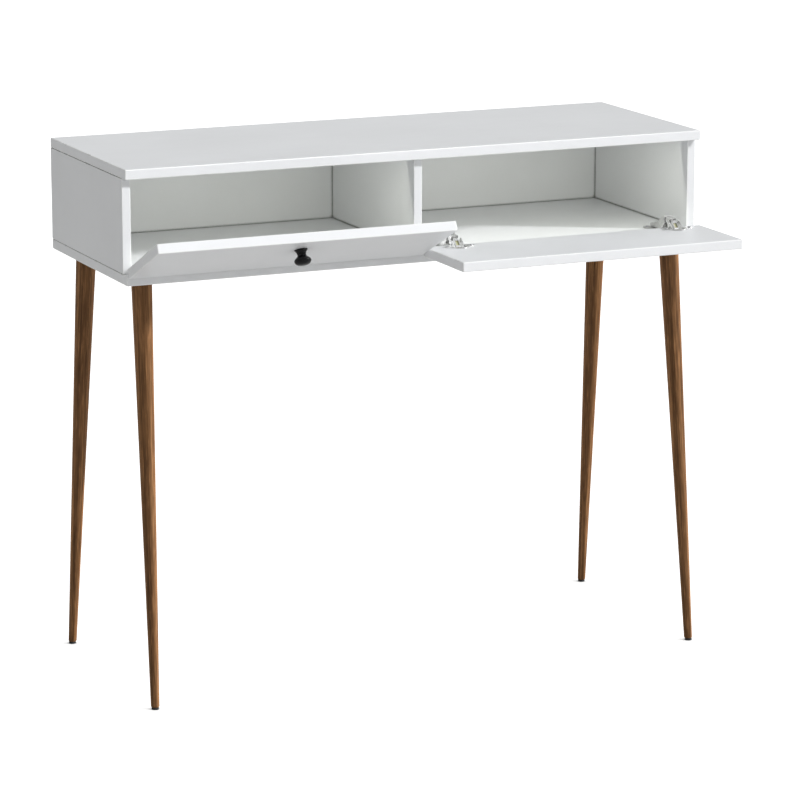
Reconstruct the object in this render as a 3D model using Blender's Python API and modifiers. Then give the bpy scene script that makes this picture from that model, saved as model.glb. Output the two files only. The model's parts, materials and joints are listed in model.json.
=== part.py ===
"""Secretary desk: a white two-bay cabinet on four splayed, tapered round legs, with two drop-down flaps on concealed hinges.

Metres, +Z up, front towards -Y. The origin is on the floor, under the centre of the bounding box with the flaps as drawn.
The left flap is part open and the right flap is level. Each flap and its hinge links turn about one line along X.
"""

import math

import bmesh
import bpy
from mathutils import Matrix, Vector

MM = 0.001

# Cabinet
WIDTH = 1120 * MM
DEPTH = 400 * MM
HEIGHT = 960 * MM
BODY = 204 * MM  # height of the cabinet without its legs
BOARD = 18 * MM  # top, bottom and flaps
SIDE = 16 * MM  # side panels and divider
BACK = 6 * MM
RECESS = 20 * MM  # front edges of the sides and divider, behind the front of the top
EDGE = 2 * MM  # rounding of the board edges
GAP = 0.3 * MM  # between touching pieces

# Flaps, all measured with the flap closed
FLAP_END = 1.5 * MM  # from the end of the cabinet, and from its middle
FLAP_GAP = 1.5 * MM  # above and below
AXIS_Y = 2 * MM  # behind the front edge of the bottom panel
AXIS_Z = -5 * MM  # below its upper face
OPEN_LEFT = math.radians(65)
OPEN_RIGHT = math.radians(90)

# Hinges
CUP_EDGE = 22.5 * MM  # cup centre from the lower edge of the flap
CUP_R = 17.5 * MM
CUP_DEPTH = 11.2 * MM
HINGE_END = 58 * MM  # cup centre from the end of the flap
WING = 24 * MM  # flange screws from the cup centre
KNUCKLE_R = 31 * MM
LINK_IN, LINK_OUT = 31.6 * MM, 33.4 * MM
ARM_IN, ARM_OUT = 34 * MM, 36 * MM

# Knob
KNOB_X = -280 * MM
KNOB_FROM_TOP = 49 * MM

# Legs
LEG_TOP_R = 18.4 * MM
LEG_FOOT_R = 7.6 * MM
LEG_X = 42 * MM  # leg centre from the end of the cabinet, at the top
LEG_FRONT = 42 * MM  # from its front edge
LEG_REAR = 66 * MM  # from its back edge
SPLAY_X = 15 * MM
SPLAY_Y = 78 * MM
PAD_H = 3.7 * MM

# The bounding box runs from the free edge of the level flap to the rear feet.
FRONT = -124.77 * MM  # front edge of the cabinet

HALF = WIDTH / 2
Z_BOTTOM = HEIGHT - BODY
Z_FLOOR = Z_BOTTOM + BOARD
Z_CEIL = HEIGHT - BOARD
AXIS = Vector((0, FRONT + AXIS_Y, Z_FLOOR + AXIS_Z))
FLAP_LOW = FLAP_GAP - AXIS_Z
FLAP_HIGH = Z_CEIL - Z_FLOOR - FLAP_GAP - AXIS_Z
FLAP_OUT = -AXIS_Y
FLAP_IN = BOARD - AXIS_Y
CUP_Z = FLAP_LOW + CUP_EDGE

for old in list(bpy.data.objects):
    bpy.data.objects.remove(old, do_unlink=True)

scene = bpy.context.scene
desk = bpy.data.collections.new("secretary_desk")
helpers = bpy.data.collections.new("cutters")
scene.collection.children.link(desk)
scene.collection.children.link(helpers)

LOOKS = {
    "board": ((0.80, 0.81, 0.82, 1), 0.0, 0.35),
    "walnut": ((0.16, 0.08, 0.04, 1), 0.0, 0.45),
    "nickel": ((0.72, 0.71, 0.69, 1), 1.0, 0.25),
    "black": ((0.01, 0.01, 0.01, 1), 0.0, 0.12),
    "pad": ((0.015, 0.015, 0.015, 1), 0.0, 0.6),
    "zinc": ((0.60, 0.60, 0.60, 1), 1.0, 0.4),
    "nylon": ((0.62, 0.58, 0.40, 1), 0.0, 0.4),
}


def paint(obj, look):
    colour, metal, rough = LOOKS[look]
    mat = bpy.data.materials.new(obj.name)
    mat.use_nodes = True
    shader = mat.node_tree.nodes["Principled BSDF"]
    shader.inputs["Base Color"].default_value = colour
    shader.inputs["Metallic"].default_value = metal
    shader.inputs["Roughness"].default_value = rough
    obj.data.materials.clear()
    obj.data.materials.append(mat)


def add(name, bm, look=None, origin=None, turn=0.0, smooth=False):
    """The mesh as an object. Without a look it's a cutter."""
    bmesh.ops.recalc_face_normals(bm, faces=bm.faces)
    mesh = bpy.data.meshes.new(name)
    bm.to_mesh(mesh)
    bm.free()
    obj = bpy.data.objects.new(name, mesh)
    for face in mesh.polygons:
        face.use_smooth = smooth
    if origin is not None:
        obj.location = origin
    obj.rotation_euler = (turn, 0, 0)
    if look:
        desk.objects.link(obj)
        paint(obj, look)
    else:
        helpers.objects.link(obj)
        obj.hide_render = True
        obj.display_type = "WIRE"
    return obj


def box_into(bm, x0, x1, y0, y1, z0, z1):
    centre = Vector(((x0 + x1) / 2, (y0 + y1) / 2, (z0 + z1) / 2))
    size = Matrix.Diagonal((x1 - x0, y1 - y0, z1 - z0, 1))
    bmesh.ops.create_cube(bm, size=1, matrix=Matrix.Translation(centre) @ size)


def rod_into(bm, start, end, r0, r1=None, sides=12):
    """A cylinder or cone from start to end."""
    start, end = Vector(start), Vector(end)
    line = end - start
    turn = Vector((0, 0, 1)).rotation_difference(line).to_matrix().to_4x4()
    bmesh.ops.create_cone(
        bm,
        cap_ends=True,
        segments=sides,
        radius1=r0,
        radius2=r0 if r1 is None else r1,
        depth=line.length,
        matrix=Matrix.Translation((start + end) / 2) @ turn,
    )


def bevel(obj, width, segments=3):
    mod = obj.modifiers.new("Bevel", "BEVEL")
    mod.width = width
    mod.segments = segments
    mod.limit_method = "ANGLE"
    return mod


def cut(obj, cutter, operation="DIFFERENCE"):
    mod = obj.modifiers.new("Boolean", "BOOLEAN")
    mod.object = cutter
    mod.operation = operation
    mod.solver = "EXACT"


def plate(name, outline, half, centre=0.0):
    """A bmesh of an outline in (y, z), extruded along X by half to each side of centre. Made as a filled 2D curve."""
    curve = bpy.data.curves.new(name, "CURVE")
    curve.dimensions = "2D"
    curve.fill_mode = "BOTH"
    curve.extrude = half
    spline = curve.splines.new("POLY")
    spline.points.add(len(outline) - 1)
    for point, (y, z) in zip(spline.points, outline):
        point.co = (y, z, 0, 1)
    spline.use_cyclic_u = True
    guide = bpy.data.objects.new(name + "_guide", curve)
    scene.collection.objects.link(guide)
    bpy.context.view_layer.update()
    graph = bpy.context.evaluated_depsgraph_get()
    mesh = bpy.data.meshes.new_from_object(guide.evaluated_get(graph))
    bm = bmesh.new()
    bm.from_mesh(mesh)
    bmesh.ops.remove_doubles(bm, verts=bm.verts, dist=1e-6)
    # (a, b, c) of the curve becomes (c, a, b) here.
    bm.transform(
        Matrix.Translation((centre, 0, 0))
        @ Matrix(((0, 0, 1, 0), (1, 0, 0, 0), (0, 1, 0, 0), (0, 0, 0, 1)))
    )
    bpy.data.objects.remove(guide, do_unlink=True)
    bpy.data.curves.remove(curve)
    bpy.data.meshes.remove(mesh)
    return bm


def lathe(name, profile, look, steps, origin, turn, smooth=True):
    """A profile of (radius, height), from the top of the axis down its outer side, turned about local Z."""
    mesh = bpy.data.meshes.new(name)
    mesh.from_pydata(
        [(r, 0, h) for r, h in profile],
        [(i, i + 1) for i in range(len(profile) - 1)],
        [],
    )
    obj = bpy.data.objects.new(name, mesh)
    obj.location = origin
    obj.rotation_euler = turn
    desk.objects.link(obj)
    mod = obj.modifiers.new("Screw", "SCREW")
    mod.axis = "Z"
    mod.steps = mod.render_steps = steps
    mod.use_merge_vertices = True
    mod.merge_threshold = 1e-5
    mod.use_smooth_shade = smooth
    paint(obj, look)
    return obj


def arc(radius, a0, a1, steps):
    """(y, z) points about the hinge axis; angles in degrees from +Y towards +Z."""
    out = []
    for i in range(steps + 1):
        a = math.radians(a0 + (a1 - a0) * i / steps)
        out.append((radius * math.cos(a), radius * math.sin(a)))
    return out


# ---- Cabinet ----

HINGES = {
    "L1": (-HALF + FLAP_END + HINGE_END, OPEN_LEFT),
    "L2": (-FLAP_END - HINGE_END, OPEN_LEFT),
    "R1": (FLAP_END + HINGE_END, OPEN_RIGHT),
    "R2": (HALF - FLAP_END - HINGE_END, OPEN_RIGHT),
}
PLATE_Y = FRONT + 60 * MM
PLATE_SCREW = 17 * MM

LEGS = {}
for side, sx in (("left", -1), ("right", 1)):
    for end, y_top, sy in (
        ("front", FRONT + LEG_FRONT, -1),
        ("rear", FRONT + DEPTH - LEG_REAR, 1),
    ):
        LEGS[f"{end}_{side}"] = (
            Vector((sx * (HALF - LEG_X), y_top, Z_BOTTOM)),
            Vector((sx * SPLAY_X, sy * SPLAY_Y, -Z_BOTTOM)),
        )

bm = bmesh.new()
box_into(bm, -HALF, HALF, FRONT, FRONT + DEPTH, Z_CEIL, HEIGHT)
bevel(add("top_panel", bm, "board"), EDGE)

bm = bmesh.new()
box_into(bm, -HALF, HALF, FRONT, FRONT + DEPTH, Z_BOTTOM, Z_FLOOR)
bottom = add("bottom_panel", bm, "board")
bevel(bottom, EDGE)
bm = bmesh.new()
for x, _ in HINGES.values():
    for sx in (-1, 1):
        rod_into(
            bm,
            (x + sx * PLATE_SCREW, PLATE_Y, Z_FLOOR - 13 * MM),
            (x + sx * PLATE_SCREW, PLATE_Y, Z_FLOOR + 5 * MM),
            1.95 * MM,
            sides=8,
        )
for top, line in LEGS.values():
    rod_into(
        bm,
        top + line * (3 * MM / Z_BOTTOM),
        top - line * (13.5 * MM / Z_BOTTOM),
        4.4 * MM,
        sides=12,
    )
cut(bottom, add("bottom_holes", bm))

for name, x0, x1, y1 in (
    ("side_panel_left", -HALF, -HALF + SIDE, FRONT + DEPTH),
    ("side_panel_right", HALF - SIDE, HALF, FRONT + DEPTH),
    ("divider_panel", -SIDE / 2, SIDE / 2, FRONT + DEPTH - BACK - GAP),
):
    bm = bmesh.new()
    box_into(bm, x0, x1, FRONT + RECESS, y1, Z_FLOOR + GAP, Z_CEIL - GAP)
    bevel(add(name, bm, "board"), EDGE * 0.6, 2)

bm = bmesh.new()
box_into(
    bm,
    -HALF + SIDE + GAP,
    HALF - SIDE - GAP,
    FRONT + DEPTH - BACK,
    FRONT + DEPTH,
    Z_FLOOR + GAP,
    Z_CEIL - GAP,
)
bevel(add("back_panel", bm, "board"), 0.4 * MM, 1)

# ---- Legs ----

for name, (top, line) in LEGS.items():
    bm = bmesh.new()
    low = PAD_H + GAP
    high = Z_BOTTOM - GAP
    bmesh.ops.create_cone(
        bm,
        cap_ends=True,
        segments=24,
        radius1=LEG_FOOT_R,
        radius2=LEG_TOP_R,
        depth=high - low,
        matrix=Matrix.Translation((0, 0, (high + low) / 2)),
    )
    rim = [e for e in bm.edges if all(v.co.z < low + MM for v in e.verts)]
    bmesh.ops.bevel(
        bm, geom=rim, offset=1.6 * MM, segments=2, profile=0.5, affect="EDGES"
    )
    # The leg leans with its ends level: each height moves sideways along the lean.
    foot = top + line
    lean = Matrix.Identity(4)
    lean[0][2] = -line.x / Z_BOTTOM
    lean[1][2] = -line.y / Z_BOTTOM
    bm.transform(lean)
    leg = add(f"leg_{name}", bm, "walnut", origin=foot, smooth=True)
    bm = bmesh.new()
    rod_into(
        bm,
        top - line * (5 * MM / Z_BOTTOM),
        top + line * (42 * MM / Z_BOTTOM),
        4.4 * MM,
        sides=12,
    )
    cut(leg, add(f"leg_{name}_hole", bm))

    bm = bmesh.new()
    rod_into(
        bm,
        top - line * (12.5 * MM / Z_BOTTOM),
        top + line * (41 * MM / Z_BOTTOM),
        4.0 * MM,
        sides=12,
    )
    add(f"leg_bolt_{name}", bm, "zinc", smooth=True)

    bm = bmesh.new()
    rod_into(bm, foot, foot + Vector((0, 0, PAD_H)), 6.6 * MM, 6.6 * MM, sides=20)
    pad = add(f"foot_pad_{name}", bm, "pad", smooth=True)
    bevel(pad, 0.8 * MM, 2)

# ---- Flaps, in a frame on the hinge axis with the flap closed ----


def flap(name, x0, x1, turn, hinges, knob):
    bm = bmesh.new()
    box_into(bm, x0, x1, FLAP_OUT, FLAP_IN, FLAP_LOW, FLAP_HIGH)
    obj = add(name, bm, "board", origin=AXIS, turn=turn)
    bevel(obj, EDGE)
    round_cuts, slots = bmesh.new(), bmesh.new()
    for x in hinges:
        rod_into(
            round_cuts,
            (x, FLAP_IN - CUP_DEPTH - 0.4 * MM, CUP_Z),
            (x, FLAP_IN + 5 * MM, CUP_Z),
            CUP_R + GAP,
            sides=32,
        )
        for sx in (-1, 1):
            rod_into(
                round_cuts,
                (x + sx * WING, FLAP_IN - 11 * MM, CUP_Z),
                (x + sx * WING, FLAP_IN + 5 * MM, CUP_Z),
                1.9 * MM,
                sides=8,
            )
        box_into(
            slots,
            x - 11.9 * MM,
            x + 11.9 * MM,
            FLAP_IN - CUP_DEPTH + 1.1 * MM,
            FLAP_IN + 6 * MM,
            FLAP_LOW - 6 * MM,
            CUP_Z,
        )
    if knob:
        rod_into(
            round_cuts,
            (KNOB_X, FLAP_OUT - 4 * MM, FLAP_HIGH - KNOB_FROM_TOP),
            (KNOB_X, FLAP_IN + 4 * MM, FLAP_HIGH - KNOB_FROM_TOP),
            2.3 * MM,
            sides=10,
        )
    cut(obj, add(name + "_bores", round_cuts, origin=AXIS, turn=turn))
    cut(obj, add(name + "_slots", slots, origin=AXIS, turn=turn))


flap(
    "flap_left",
    -HALF + FLAP_END,
    -FLAP_END,
    OPEN_LEFT,
    [HINGES["L1"][0], HINGES["L2"][0]],
    True,
)
flap(
    "flap_right",
    FLAP_END,
    HALF - FLAP_END,
    OPEN_RIGHT,
    [HINGES["R1"][0], HINGES["R2"][0]],
    False,
)

# ---- Knob on the left flap ----

turn_left = Matrix.Rotation(OPEN_LEFT, 4, "X")
knob_at = AXIS + turn_left @ Vector(
    (KNOB_X, FLAP_OUT - GAP, FLAP_HIGH - KNOB_FROM_TOP)
)
knob = lathe(
    "knob_left",
    [
        (0.0, 28.0 * MM),
        (5.5 * MM, 27.7 * MM),
        (10.0 * MM, 26.5 * MM),
        (13.2 * MM, 24.2 * MM),
        (14.8 * MM, 21.2 * MM),
        (14.9 * MM, 18.6 * MM),
        (13.2 * MM, 15.8 * MM),
        (10.4 * MM, 13.4 * MM),
        (8.2 * MM, 10.8 * MM),
        (7.8 * MM, 8.0 * MM),
        (8.7 * MM, 5.0 * MM),
        (10.2 * MM, 2.4 * MM),
        (11.8 * MM, 0.7 * MM),
        (11.9 * MM, 0.0),
        (0.0, 0.0),
    ],
    "black",
    24,
    knob_at,
    (math.radians(90) + OPEN_LEFT, 0, 0),
)
bm = bmesh.new()
rod_into(
    bm,
    (KNOB_X, FLAP_OUT - 14 * MM, FLAP_HIGH - KNOB_FROM_TOP),
    (KNOB_X, FLAP_OUT + 4 * MM, FLAP_HIGH - KNOB_FROM_TOP),
    2.2 * MM,
    sides=10,
)
cut(knob, add("knob_hole", bm, origin=AXIS, turn=OPEN_LEFT))

lathe(
    "knob_screw_left",
    [
        (0.0, 2.4 * MM),
        (2.8 * MM, 2.1 * MM),
        (4.2 * MM, 1.1 * MM),
        (4.3 * MM, 0.3 * MM),
        (1.9 * MM, 0.3 * MM),
        (1.9 * MM, -29.5 * MM),
        (0.0, -30.5 * MM),
    ],
    "zinc",
    12,
    AXIS + turn_left @ Vector((KNOB_X, FLAP_IN, FLAP_HIGH - KNOB_FROM_TOP)),
    (math.radians(-90) + OPEN_LEFT, 0, 0),
)

# ---- Hinges ----


def wing_outline():
    """Half-disc bulges with a wing to each side, as (x, z) about the cup centre."""
    points = []
    for i in range(7):  # upper edge, from the right wing over the disc to the left wing
        a = math.radians(35 + 110 * i / 6)
        points.append((18.9 * MM * math.cos(a), 18.9 * MM * math.sin(a)))
    left = [
        (-25.5 * MM, 6.2 * MM),
        (-29.6 * MM, 4.2 * MM),
        (-31 * MM, 0.0),
        (-29.6 * MM, -4.2 * MM),
        (-25.5 * MM, -6.2 * MM),
    ]
    lower = []
    for i in range(7):
        a = math.radians(215 + 110 * i / 6)
        lower.append((18.9 * MM * math.cos(a), 18.9 * MM * math.sin(a)))
    right = [(-x, z) for x, z in reversed(left)]
    return points + left + lower + right


def hinge(key, x, turn):
    name = f"hinge_{key}"
    spin = Matrix.Rotation(turn, 4, "X")

    # Cup, with its flange joined and its well open towards the flap's lower edge.
    bm = bmesh.new()
    rod_into(
        bm,
        (x, FLAP_IN - CUP_DEPTH, CUP_Z),
        (x, FLAP_IN + 0.9 * MM, CUP_Z),
        CUP_R,
        sides=32,
    )
    cup = add(name + "_cup", bm, "nickel", origin=AXIS, turn=turn)
    outline = [(px, pz) for px, pz in wing_outline()]
    bm = plate(name + "_flange", outline, 0.6 * MM)
    # The outline was drawn in (y, z): turn it into (x, z) and lift it onto the inner face.
    bm.transform(
        Matrix.Translation((x, FLAP_IN + 0.9 * MM, CUP_Z))
        @ Matrix(((0, 1, 0, 0), (-1, 0, 0, 0), (0, 0, 1, 0), (0, 0, 0, 1)))
    )
    cut(cup, add(name + "_flange", bm, origin=AXIS, turn=turn), "UNION")
    bm = bmesh.new()
    box_into(
        bm,
        x - 11.5 * MM,
        x + 11.5 * MM,
        FLAP_IN - CUP_DEPTH + 1.4 * MM,
        FLAP_IN + 8 * MM,
        CUP_Z - 30 * MM,
        CUP_Z + 12.5 * MM,
    )
    for sx in (-1, 1):
        rod_into(
            bm,
            (x + sx * WING, FLAP_IN - 3 * MM, CUP_Z),
            (x + sx * WING, FLAP_IN + 5 * MM, CUP_Z),
            1.9 * MM,
            sides=8,
        )
    cut(cup, add(name + "_well", bm, origin=AXIS, turn=turn))

    for tag, sx in (("a", -1), ("b", 1)):
        lathe(
            f"{name}_cup_screw_{tag}",
            [
                (0.0, 3.2 * MM),
                (2.2 * MM, 2.9 * MM),
                (3.2 * MM, 1.8 * MM),
                (1.55 * MM, 1.8 * MM),
                (1.55 * MM, -8.5 * MM),
                (0.0, -10.5 * MM),
            ],
            "zinc",
            10,
            AXIS + spin @ Vector((x + sx * WING, FLAP_IN, CUP_Z)),
            (math.radians(-90) + turn, 0, 0),
        )

    # Knuckle: stands in the cup and curves back over the flap's lower edge.
    well = FLAP_IN - CUP_DEPTH + 1.4 * MM + GAP
    outline = (
        [(well, 22.0 * MM)]
        + arc(23.6 * MM, 58, 14.5, 5)
        + arc(KNUCKLE_R, 11.2, 60, 7)
        + [(10.5 * MM, 31.2 * MM), (well, 32.0 * MM)]
    )
    add(
        name + "_knuckle",
        plate(name + "_knuckle", outline, 4.5 * MM, x),
        "nylon",
        origin=AXIS,
        turn=turn,
    )

    # Link: a curved channel over the knuckle, under the arm. It turns half as far as the flap.
    outline = arc(LINK_OUT, 25, 63, 6) + arc(24 * MM, 63, 25, 4)
    link = add(
        name + "_link",
        plate(name + "_link", outline, 6.5 * MM, x),
        "nickel",
        origin=AXIS,
        turn=turn / 2,
    )
    outline = arc(LINK_IN, 15, 73, 8) + arc(18 * MM, 73, 15, 3)
    cut(
        link,
        add(
            name + "_link_inside",
            plate(name + "_link_inside", outline, 5.1 * MM, x),
            origin=AXIS,
            turn=turn / 2,
        ),
    )

    # Arm: a channel clipped over the mounting plate, with a curved nose.
    outline = (
        [(7.2 * MM, 23 * MM)]
        + arc(ARM_OUT, 78.4, 33, 7)
        + [
            (36.5 * MM, 15.8 * MM),
            (60 * MM, 14.6 * MM),
            (62 * MM, 12.8 * MM),
            (62 * MM, 8.3 * MM),
            (26 * MM, 8.3 * MM),
            (14 * MM, 15 * MM),
        ]
    )
    arm = add(
        name + "_arm", plate(name + "_arm", outline, 8.9 * MM, x), "nickel", origin=AXIS
    )
    outline = (
        [(-6 * MM, -10 * MM)]
        + arc(ARM_IN, 100, 33, 9)
        + [(35.8 * MM, 14.0 * MM), (60.2 * MM, 12.8 * MM), (60.2 * MM, -10 * MM)]
    )
    cut(
        arm,
        add(
            name + "_arm_inside",
            plate(name + "_arm_inside", outline, 7.1 * MM, x),
            origin=AXIS,
        ),
    )

    # Mounting plate with its rib, and two screws.
    bm = bmesh.new()
    box_into(
        bm,
        x - 23 * MM,
        x + 23 * MM,
        PLATE_Y - 8 * MM,
        PLATE_Y + 8 * MM,
        Z_FLOOR + GAP,
        Z_FLOOR + 2.4 * MM,
    )
    base = add(name + "_plate", bm, "nickel")
    bevel(base, 0.5 * MM, 1)
    bm = bmesh.new()
    box_into(
        bm,
        x - 5.8 * MM,
        x + 5.8 * MM,
        PLATE_Y - 18 * MM,
        PLATE_Y + 1 * MM,
        Z_FLOOR + GAP,
        Z_FLOOR + 7.1 * MM,
    )
    cut(base, add(name + "_rib", bm), "UNION")
    bm = bmesh.new()
    for sx in (-1, 1):
        rod_into(
            bm,
            (x + sx * PLATE_SCREW, PLATE_Y, Z_FLOOR - 2 * MM),
            (x + sx * PLATE_SCREW, PLATE_Y, Z_FLOOR + 5 * MM),
            1.95 * MM,
            sides=8,
        )
    cut(base, add(name + "_plate_holes", bm))
    for tag, sx in (("a", -1), ("b", 1)):
        lathe(
            f"{name}_plate_screw_{tag}",
            [
                (0.0, 4.4 * MM),
                (2.4 * MM, 4.1 * MM),
                (3.4 * MM, 2.7 * MM),
                (1.6 * MM, 2.7 * MM),
                (1.6 * MM, -10.0 * MM),
                (0.0, -12.5 * MM),
            ],
            "zinc",
            10,
            Vector((x + sx * PLATE_SCREW, PLATE_Y, Z_FLOOR)),
            (0, 0, 0),
        )


for key, (x, turn) in HINGES.items():
    hinge(key, x, turn)
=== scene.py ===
"""Secretary desk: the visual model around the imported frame. Metres, +Z up, front towards -Y."""

import json
import math

import bmesh
import bpy
from mathutils import Matrix, Vector


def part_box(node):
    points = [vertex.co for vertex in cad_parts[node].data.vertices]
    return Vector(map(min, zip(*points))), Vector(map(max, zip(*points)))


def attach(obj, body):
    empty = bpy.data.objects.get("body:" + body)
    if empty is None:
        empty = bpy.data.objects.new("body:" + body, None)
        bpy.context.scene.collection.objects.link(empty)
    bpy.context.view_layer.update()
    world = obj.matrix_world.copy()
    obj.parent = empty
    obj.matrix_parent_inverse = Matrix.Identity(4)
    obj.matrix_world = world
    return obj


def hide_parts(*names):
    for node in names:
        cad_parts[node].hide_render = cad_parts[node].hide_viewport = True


MM = 0.001

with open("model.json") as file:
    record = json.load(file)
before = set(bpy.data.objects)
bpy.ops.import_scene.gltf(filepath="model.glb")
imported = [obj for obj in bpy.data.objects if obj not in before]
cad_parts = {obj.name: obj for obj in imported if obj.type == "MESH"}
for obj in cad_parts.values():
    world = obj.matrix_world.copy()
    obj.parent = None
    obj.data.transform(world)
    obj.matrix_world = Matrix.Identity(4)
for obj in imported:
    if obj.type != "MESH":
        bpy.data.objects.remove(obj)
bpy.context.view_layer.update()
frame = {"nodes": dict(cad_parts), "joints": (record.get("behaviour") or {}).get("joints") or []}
scene = bpy.context.scene
JOINTS = {j["name"]: j for j in frame["joints"]}


# ---------------------------------------------------------------- materials


class Maker:
    """Adds nodes to one material and links them."""

    def __init__(self, name):
        self.mat = bpy.data.materials.new(name)
        self.mat.use_nodes = True
        self.tree = self.mat.node_tree
        self.bsdf = self.tree.nodes["Principled BSDF"]

    def node(self, kind, settings=None, **inputs):
        n = self.tree.nodes.new(kind)
        for key, value in (settings or {}).items():
            setattr(n, key, value)
        for key, value in inputs.items():
            self.put(n, key.replace("_", " "), value)
        return n

    def put(self, node, key, value):
        socket = node.inputs[int(key)] if key.isdigit() else node.inputs[key]
        if hasattr(value, "is_linked"):
            self.tree.links.new(value, socket)
        else:
            socket.default_value = value

    def set(self, key, value):
        self.put(self.bsdf, key, value)

    def coords(self, attribute=None):
        if attribute:
            return self.node(
                "ShaderNodeAttribute", {"attribute_name": attribute}
            ).outputs["Vector"]
        return self.node("ShaderNodeTexCoord").outputs["Object"]

    def stretch(self, vector, scale):
        n = self.node("ShaderNodeMapping", {"vector_type": "POINT"}, Vector=vector)
        n.inputs["Scale"].default_value = scale
        return n.outputs["Vector"]

    def noise(self, vector, scale, detail=3.0, rough=0.55, distortion=0.0):
        n = self.node(
            "ShaderNodeTexNoise",
            Vector=vector,
            Scale=scale,
            Detail=detail,
            Roughness=rough,
            Distortion=distortion,
        )
        return n.outputs["Fac"]

    def span(self, value, low, high, out_low=0.0, out_high=1.0):
        n = self.node("ShaderNodeMapRange", {"clamp": True}, Value=value)
        n.inputs["From Min"].default_value = low
        n.inputs["From Max"].default_value = high
        n.inputs["To Min"].default_value = out_low
        n.inputs["To Max"].default_value = out_high
        return n.outputs["Result"]

    def math(self, op, a, b=0.0):
        n = self.node("ShaderNodeMath", {"operation": op})
        self.put(n, "0", a)
        self.put(n, "1", b)
        return n.outputs[0]

    def mix(self, factor, a, b, kind="MIX"):
        n = self.node("ShaderNodeMixRGB", {"blend_type": kind})
        for key, value in (("Fac", factor), ("Color1", a), ("Color2", b)):
            if isinstance(value, tuple):
                value = (*value, 1.0)
            self.put(n, key, value)
        return n.outputs["Color"]

    def ramp(self, value, stops, ease="LINEAR"):
        n = self.node("ShaderNodeValToRGB", Fac=value)
        n.color_ramp.interpolation = ease
        items = n.color_ramp.elements
        while len(items) > 1:
            items.remove(items[-1])
        items[0].position, items[0].color = stops[0][0], (*stops[0][1], 1)
        for place, colour in stops[1:]:
            items.new(place).color = (*colour, 1)
        return n.outputs["Color"]

    def bump(self, height, strength, distance, normal=None):
        n = self.node("ShaderNodeBump", Height=height)
        n.inputs["Strength"].default_value = strength
        n.inputs["Distance"].default_value = distance
        if normal is not None:
            self.put(n, "Normal", normal)
        return n.outputs["Normal"]


def board_material(name, face=(0.800, 0.808, 0.820), worn_highlight=(0.86, 0.86, 0.86), corners=None):
    """White satin lacquer on board: faint clouding, roller texture, arrises made lighter as rubbed wear and a painted
    highlight, handling marks in the gloss.
    Behind the plane y = corners, painted shade darkens the hollow corners where boards meet, patchy with noise."""
    m = Maker(name)
    at = m.coords()
    cloud = m.noise(at, 5.0, 4.0, 0.55)
    fine = m.noise(at, 260.0, 3.0, 0.6)
    tint = m.mix(m.span(cloud, 0.3, 0.7), tuple(0.965 * c for c in face), face)
    tint = m.mix(m.span(fine, 0.35, 0.65, 0.0, 0.10), tint, (0.86, 0.87, 0.88))
    edge = m.node("ShaderNodeAttribute", {"attribute_name": "edge"}).outputs["Fac"]
    patch_noise = m.noise(m.stretch(at, (0.12, 1.0, 1.0)), 90.0, 3.0, 0.6)
    amount = m.math("MULTIPLY", edge, m.span(patch_noise, 0.3, 0.7, 0.55, 1.0))
    # Painted highlight together with rubbed wear: the rounded arrises are made lighter, patchy with noise.
    tint = m.mix(amount, tint, worn_highlight)
    if corners is not None:
        # Painted shade: an ambient-occlusion mask darkens the hollow corners inside the bays towards a near-black
        # line.
        hollow = m.node("ShaderNodeAmbientOcclusion", {"samples": 8}, Distance=0.0075)
        dark = m.span(hollow.outputs["AO"], 0.50, 0.80, 1.0, 0.0)
        y = m.node("ShaderNodeSeparateXYZ", Vector=at).outputs["Y"]
        inside = m.span(y, corners, corners + 0.012)
        overlay_mask = m.math("MULTIPLY", m.math("MULTIPLY", dark, inside), m.span(patch_noise, 0.25, 0.7, 0.62, 0.80))
        tint = m.mix(overlay_mask, tint, (0.13, 0.13, 0.125))
    m.set("Base Color", tint)
    smudge = m.noise(m.stretch(at, (1.0, 1.6, 1.0)), 11.0, 5.0, 0.62, 0.4)
    rough = m.span(smudge, 0.35, 0.72, 0.31, 0.42)
    m.set("Roughness", m.math("SUBTRACT", rough, m.math("MULTIPLY", amount, 0.07)))
    peel = m.noise(at, 620.0, 2.0, 0.5)
    swell = m.noise(at, 46.0, 2.0, 0.5)
    normal = m.bump(swell, 0.05, 0.0006)
    m.set("Normal", m.bump(peel, 0.10, 0.00012, normal))
    m.bsdf.inputs["IOR"].default_value = 1.47
    m.bsdf.inputs["Specular IOR Level"].default_value = 0.42
    return m.mat


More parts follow.
